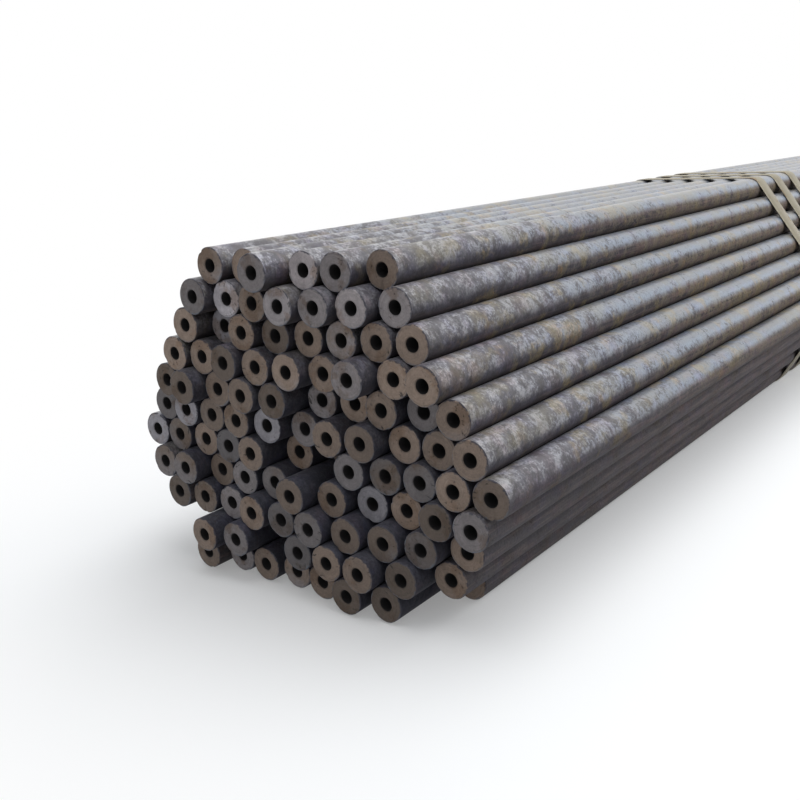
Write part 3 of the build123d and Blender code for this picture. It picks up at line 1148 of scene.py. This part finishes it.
def floor_material(stage):
    """A pale floor that keeps the bundle's shadow, lightened by a painted white glow, and fades to white away
    from it.
    """
    material, tree, shader = new_material("pale_floor")
    shown = seen_directly(tree)
    shader.inputs["Roughness"].default_value = 0.9
    shader.inputs["Specular IOR Level"].default_value = 0.0
    feed(shader.inputs["Base Color"], tint(shown, stage.floor_return, stage.floor))
    white = add(tree, "ShaderNodeEmission", Color=WHITE, Strength=1.0)
    place = add(tree, "ShaderNodeTexCoord", out="Object")
    past = vector_calc("SUBTRACT", vector_calc("ABSOLUTE", place), CAD_BOX[1])
    past = vector_calc("MAXIMUM", past, (0.0, 0.0, 0.0))
    away = vector_calc("LENGTH", past, out="Value")
    fade = (rise(away, 0.0, stage.floor_fade) * (1 - LEAST_FADE) + LEAST_FADE) * shown
    surface = add(tree, "ShaderNodeMixShader", values=(fade, Field(shader.outputs["BSDF"]), white))
    feed(tree.nodes["Material Output"].inputs["Surface"], surface)
    return material


def set_floor(stage):
    """A round floor under the bundle."""
    mesh = bmesh.new()
    bmesh.ops.create_circle(mesh, cap_ends=True, segments=FLOOR_SIDES, radius=stage.floor_radius)
    data = bpy.data.meshes.new("floor")
    mesh.to_mesh(data)
    mesh.free()
    data.materials.append(floor_material(stage))
    floor = bpy.data.objects.new("floor", data)
    bpy.context.scene.collection.objects.link(floor)


def set_light(scene, stage):
    """An overcast sky, and at each end a large soft box overhead and a fill before it."""
    scene.world = bpy.data.worlds.new("overcast")
    scene.world.use_nodes = True
    tree = scene.world.node_tree
    direction = add(tree, "ShaderNodeTexCoord", out="Generated")
    brightest = Vector(stage.sky_aim).normalized()
    height = vector_calc("DOT_PRODUCT", direction, brightest, out="Value")
    sky = tint(rise(height, *SKY_SPREAD), stage.horizon, stage.sky)
    feed(tree.nodes["Background"].inputs["Color"], tint(seen_directly(tree), sky, WHITE))
    tree.nodes["Background"].inputs["Strength"].default_value = 1.0

    for name, setting, size, place, aim, mirrored in LAMPS:
        lamp = bpy.data.lights.new(name, "AREA")
        lamp.energy = getattr(stage, setting)
        lamp.size = size
        holder = bpy.data.objects.new(name, lamp)
        holder.location = place
        holder.rotation_euler = (Vector(aim) - Vector(place)).to_track_quat("-Z", "Y").to_euler()
        holder.visible_glossy = mirrored
        scene.collection.objects.link(holder)


def set_camera(scene, stage):
    """The camera at the picture's viewing angle."""
    lens = bpy.data.cameras.new("camera")
    lens.lens = stage.lens
    lens.clip_start = stage.clip_start
    camera = bpy.data.objects.new("camera", lens)
    camera.location = stage.camera_place
    view = Vector(stage.camera_aim) - Vector(stage.camera_place)
    roll = Quaternion((0, 0, 1), stage.camera_roll)
    camera.rotation_euler = (view.to_track_quat("-Z", "Y") @ roll).to_euler()
    scene.collection.objects.link(camera)
    scene.camera = camera


class PIPEBUNDLE_OT_stage(bpy.types.Operator):
    """Sets the floor, the soft light and the camera"""

    bl_idname = "pipe_bundle.stage"
    bl_label = "Set the stage"

    def execute(self, context):
        stage = context.scene.bundle_stage
        set_floor(stage)
        set_light(context.scene, stage)
        set_camera(context.scene, stage)
        context.scene.view_settings.view_transform = "Standard"
        return {"FINISHED"}


class PIPEBUNDLE_PT_panel(bpy.types.Panel):
    """Lists the settings and the steps of the build"""

    bl_idname = "PIPEBUNDLE_PT_panel"
    bl_label = "Pipe Bundle"
    bl_space_type = "VIEW_3D"
    bl_region_type = "UI"
    bl_category = "Pipe Bundle"

    def draw(self, context):
        for holder, (kind, steps) in SECTIONS.items():
            box = self.layout.box()
            for name in kind.__annotations__:
                box.prop(getattr(context.scene, holder), name)
            for step in steps:
                box.operator(step.bl_idname)


SECTIONS = {
    "bundle_pipes": (PipeSettings, (PIPEBUNDLE_OT_pipes,)),
    "bundle_straps": (StrapSettings, (PIPEBUNDLE_OT_straps, PIPEBUNDLE_OT_seals)),
    "bundle_stage": (StageSettings, (PIPEBUNDLE_OT_stage,)),
}


def register():
    for holder, (kind, steps) in SECTIONS.items():
        bpy.utils.register_class(kind)
        setattr(bpy.types.Scene, holder, PointerProperty(type=kind))
        for step in steps:
            bpy.utils.register_class(step)
    bpy.utils.register_class(PIPEBUNDLE_PT_panel)


def unregister():
    bpy.utils.unregister_class(PIPEBUNDLE_PT_panel)
    for holder, (kind, steps) in SECTIONS.items():
        for step in steps:
            bpy.utils.unregister_class(step)
        delattr(bpy.types.Scene, holder)
        bpy.utils.unregister_class(kind)


def main():
    register()
    bpy.ops.pipe_bundle.pipes()
    bpy.ops.pipe_bundle.straps()
    bpy.ops.pipe_bundle.seals()
    bpy.ops.pipe_bundle.stage()


if __name__ == "__main__":
    main()
